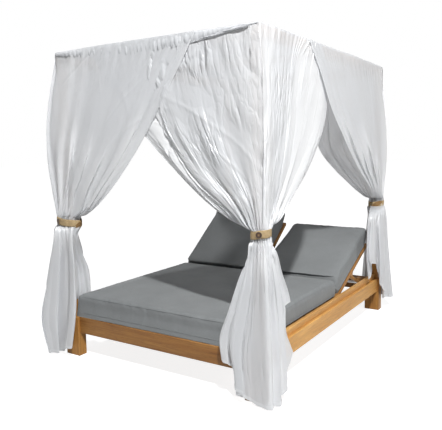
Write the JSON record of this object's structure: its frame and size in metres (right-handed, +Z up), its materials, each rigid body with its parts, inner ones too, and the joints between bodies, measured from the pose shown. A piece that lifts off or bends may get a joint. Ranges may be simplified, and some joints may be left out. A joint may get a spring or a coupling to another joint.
{
  "type": "outdoor daybed with canopy",
  "caption": "Double sun lounger in oiled hardwood with two reclining backrests, thick cushions and a post canopy hung with tied-back sheer curtains.",
  "frame": {"origin": "on the floor at the centre of the footprint", "axes": "+X across the bed to the right as seen from the foot, +Y from the foot to the head, +Z up"},
  "size_m": [1.7924, 2.2334, 2.007],
  "materials": {
    "teak": "oiled",
    "teak_inner": "oiled",
    "cushion_fabric": "woven outdoor fabric",
    "sheer_cloth": "sheer voile",
    "canvas_band": "canvas",
    "button": "horn",
    "steel": "brushed"
  },
  "bodies": {
    "frame": {"canopy_batten": "teak_inner", "canopy_beam_foot": "teak", "canopy_beam_head": "teak", "canopy_beam_left": "teak", "canopy_beam_right": "teak", "centre_beam": "teak_inner", "curtain_foot_left": "sheer_cloth", "curtain_foot_right": "sheer_cloth", "curtain_head_left": "sheer_cloth", "curtain_head_right": "sheer_cloth", "foot_rail": "teak", "head_ledger_left": "teak_inner", "head_ledger_right": "teak_inner", "head_rail": "teak", "hinge_bolt_centre": "steel", "hinge_bolt_left_outer": "steel", "hinge_bolt_right_outer": "steel", "inner_rail_left": "teak_inner", "inner_rail_right": "teak_inner", "leg_foot_left": "teak", "leg_foot_right": "teak", "leg_head_left": "teak", "leg_head_right": "teak", "outer_rail_left": "teak", "outer_rail_right": "teak", "post_foot_left": "teak", "post_foot_right": "teak", "post_head_left": "teak", "post_head_right": "teak", "rack_left_inner": "teak_inner", "rack_left_outer": "teak_inner", "rack_right_inner": "teak_inner", "rack_right_outer": "teak_inner", "roof_cloth": "sheer_cloth", "seat_cushion": "cushion_fabric", "seat_deck": "teak_inner", "tie_band_foot_left": "canvas_band", "tie_band_foot_right": "canvas_band", "tie_band_head_left": "canvas_band", "tie_band_head_right": "canvas_band", "tie_button_foot_left": "button", "tie_button_foot_right": "button", "tie_button_head_left": "button", "tie_button_head_right": "button"},
    "backrest_right": {"backrest_frame_right": "teak", "back_cushion_right": "cushion_fabric", "prop_pin_right_inner": "steel", "prop_pin_right_outer": "steel"},
    "prop_right": {"prop_arm_right_inner": "teak_inner", "prop_arm_right_outer": "teak_inner", "prop_bar_right": "teak_inner"},
    "backrest_left": {"backrest_frame_left": "teak", "back_cushion_left": "cushion_fabric", "prop_pin_left_inner": "steel", "prop_pin_left_outer": "steel"},
    "prop_left": {"prop_arm_left_inner": "teak_inner", "prop_arm_left_outer": "teak_inner", "prop_bar_left": "teak_inner"}
  },
  "joints": [
    {"name": "backrest_right_hinge", "type": "hinge", "parent": "frame", "child": "backrest_right", "pos_m": [0.35, 0.25, 0.25], "axis": [1, 0, 0], "range_deg": [-23.4, 31.6]},
    {"name": "prop_right_pivot", "type": "hinge", "parent": "backrest_right", "child": "prop_right", "pos_m": [0.35, 0.55286, 0.38106], "axis": [1, 0, 0], "range_deg": [-63.2, 46.8]},
    {"name": "backrest_left_hinge", "type": "hinge", "parent": "frame", "child": "backrest_left", "pos_m": [-0.35, 0.25, 0.25], "axis": [1, 0, 0], "range_deg": [-36.6, 18.4]},
    {"name": "prop_left_pivot", "type": "hinge", "parent": "backrest_left", "child": "prop_left", "pos_m": [-0.35, 0.51493, 0.44675], "axis": [1, 0, 0], "range_deg": [-36.8, 73.2]}
  ],
  "couplings": [
    {"joint": "prop_right_pivot", "follows": "backrest_right_hinge", "ratio": -2},
    {"joint": "prop_left_pivot", "follows": "backrest_left_hinge", "ratio": -2}
  ]
}
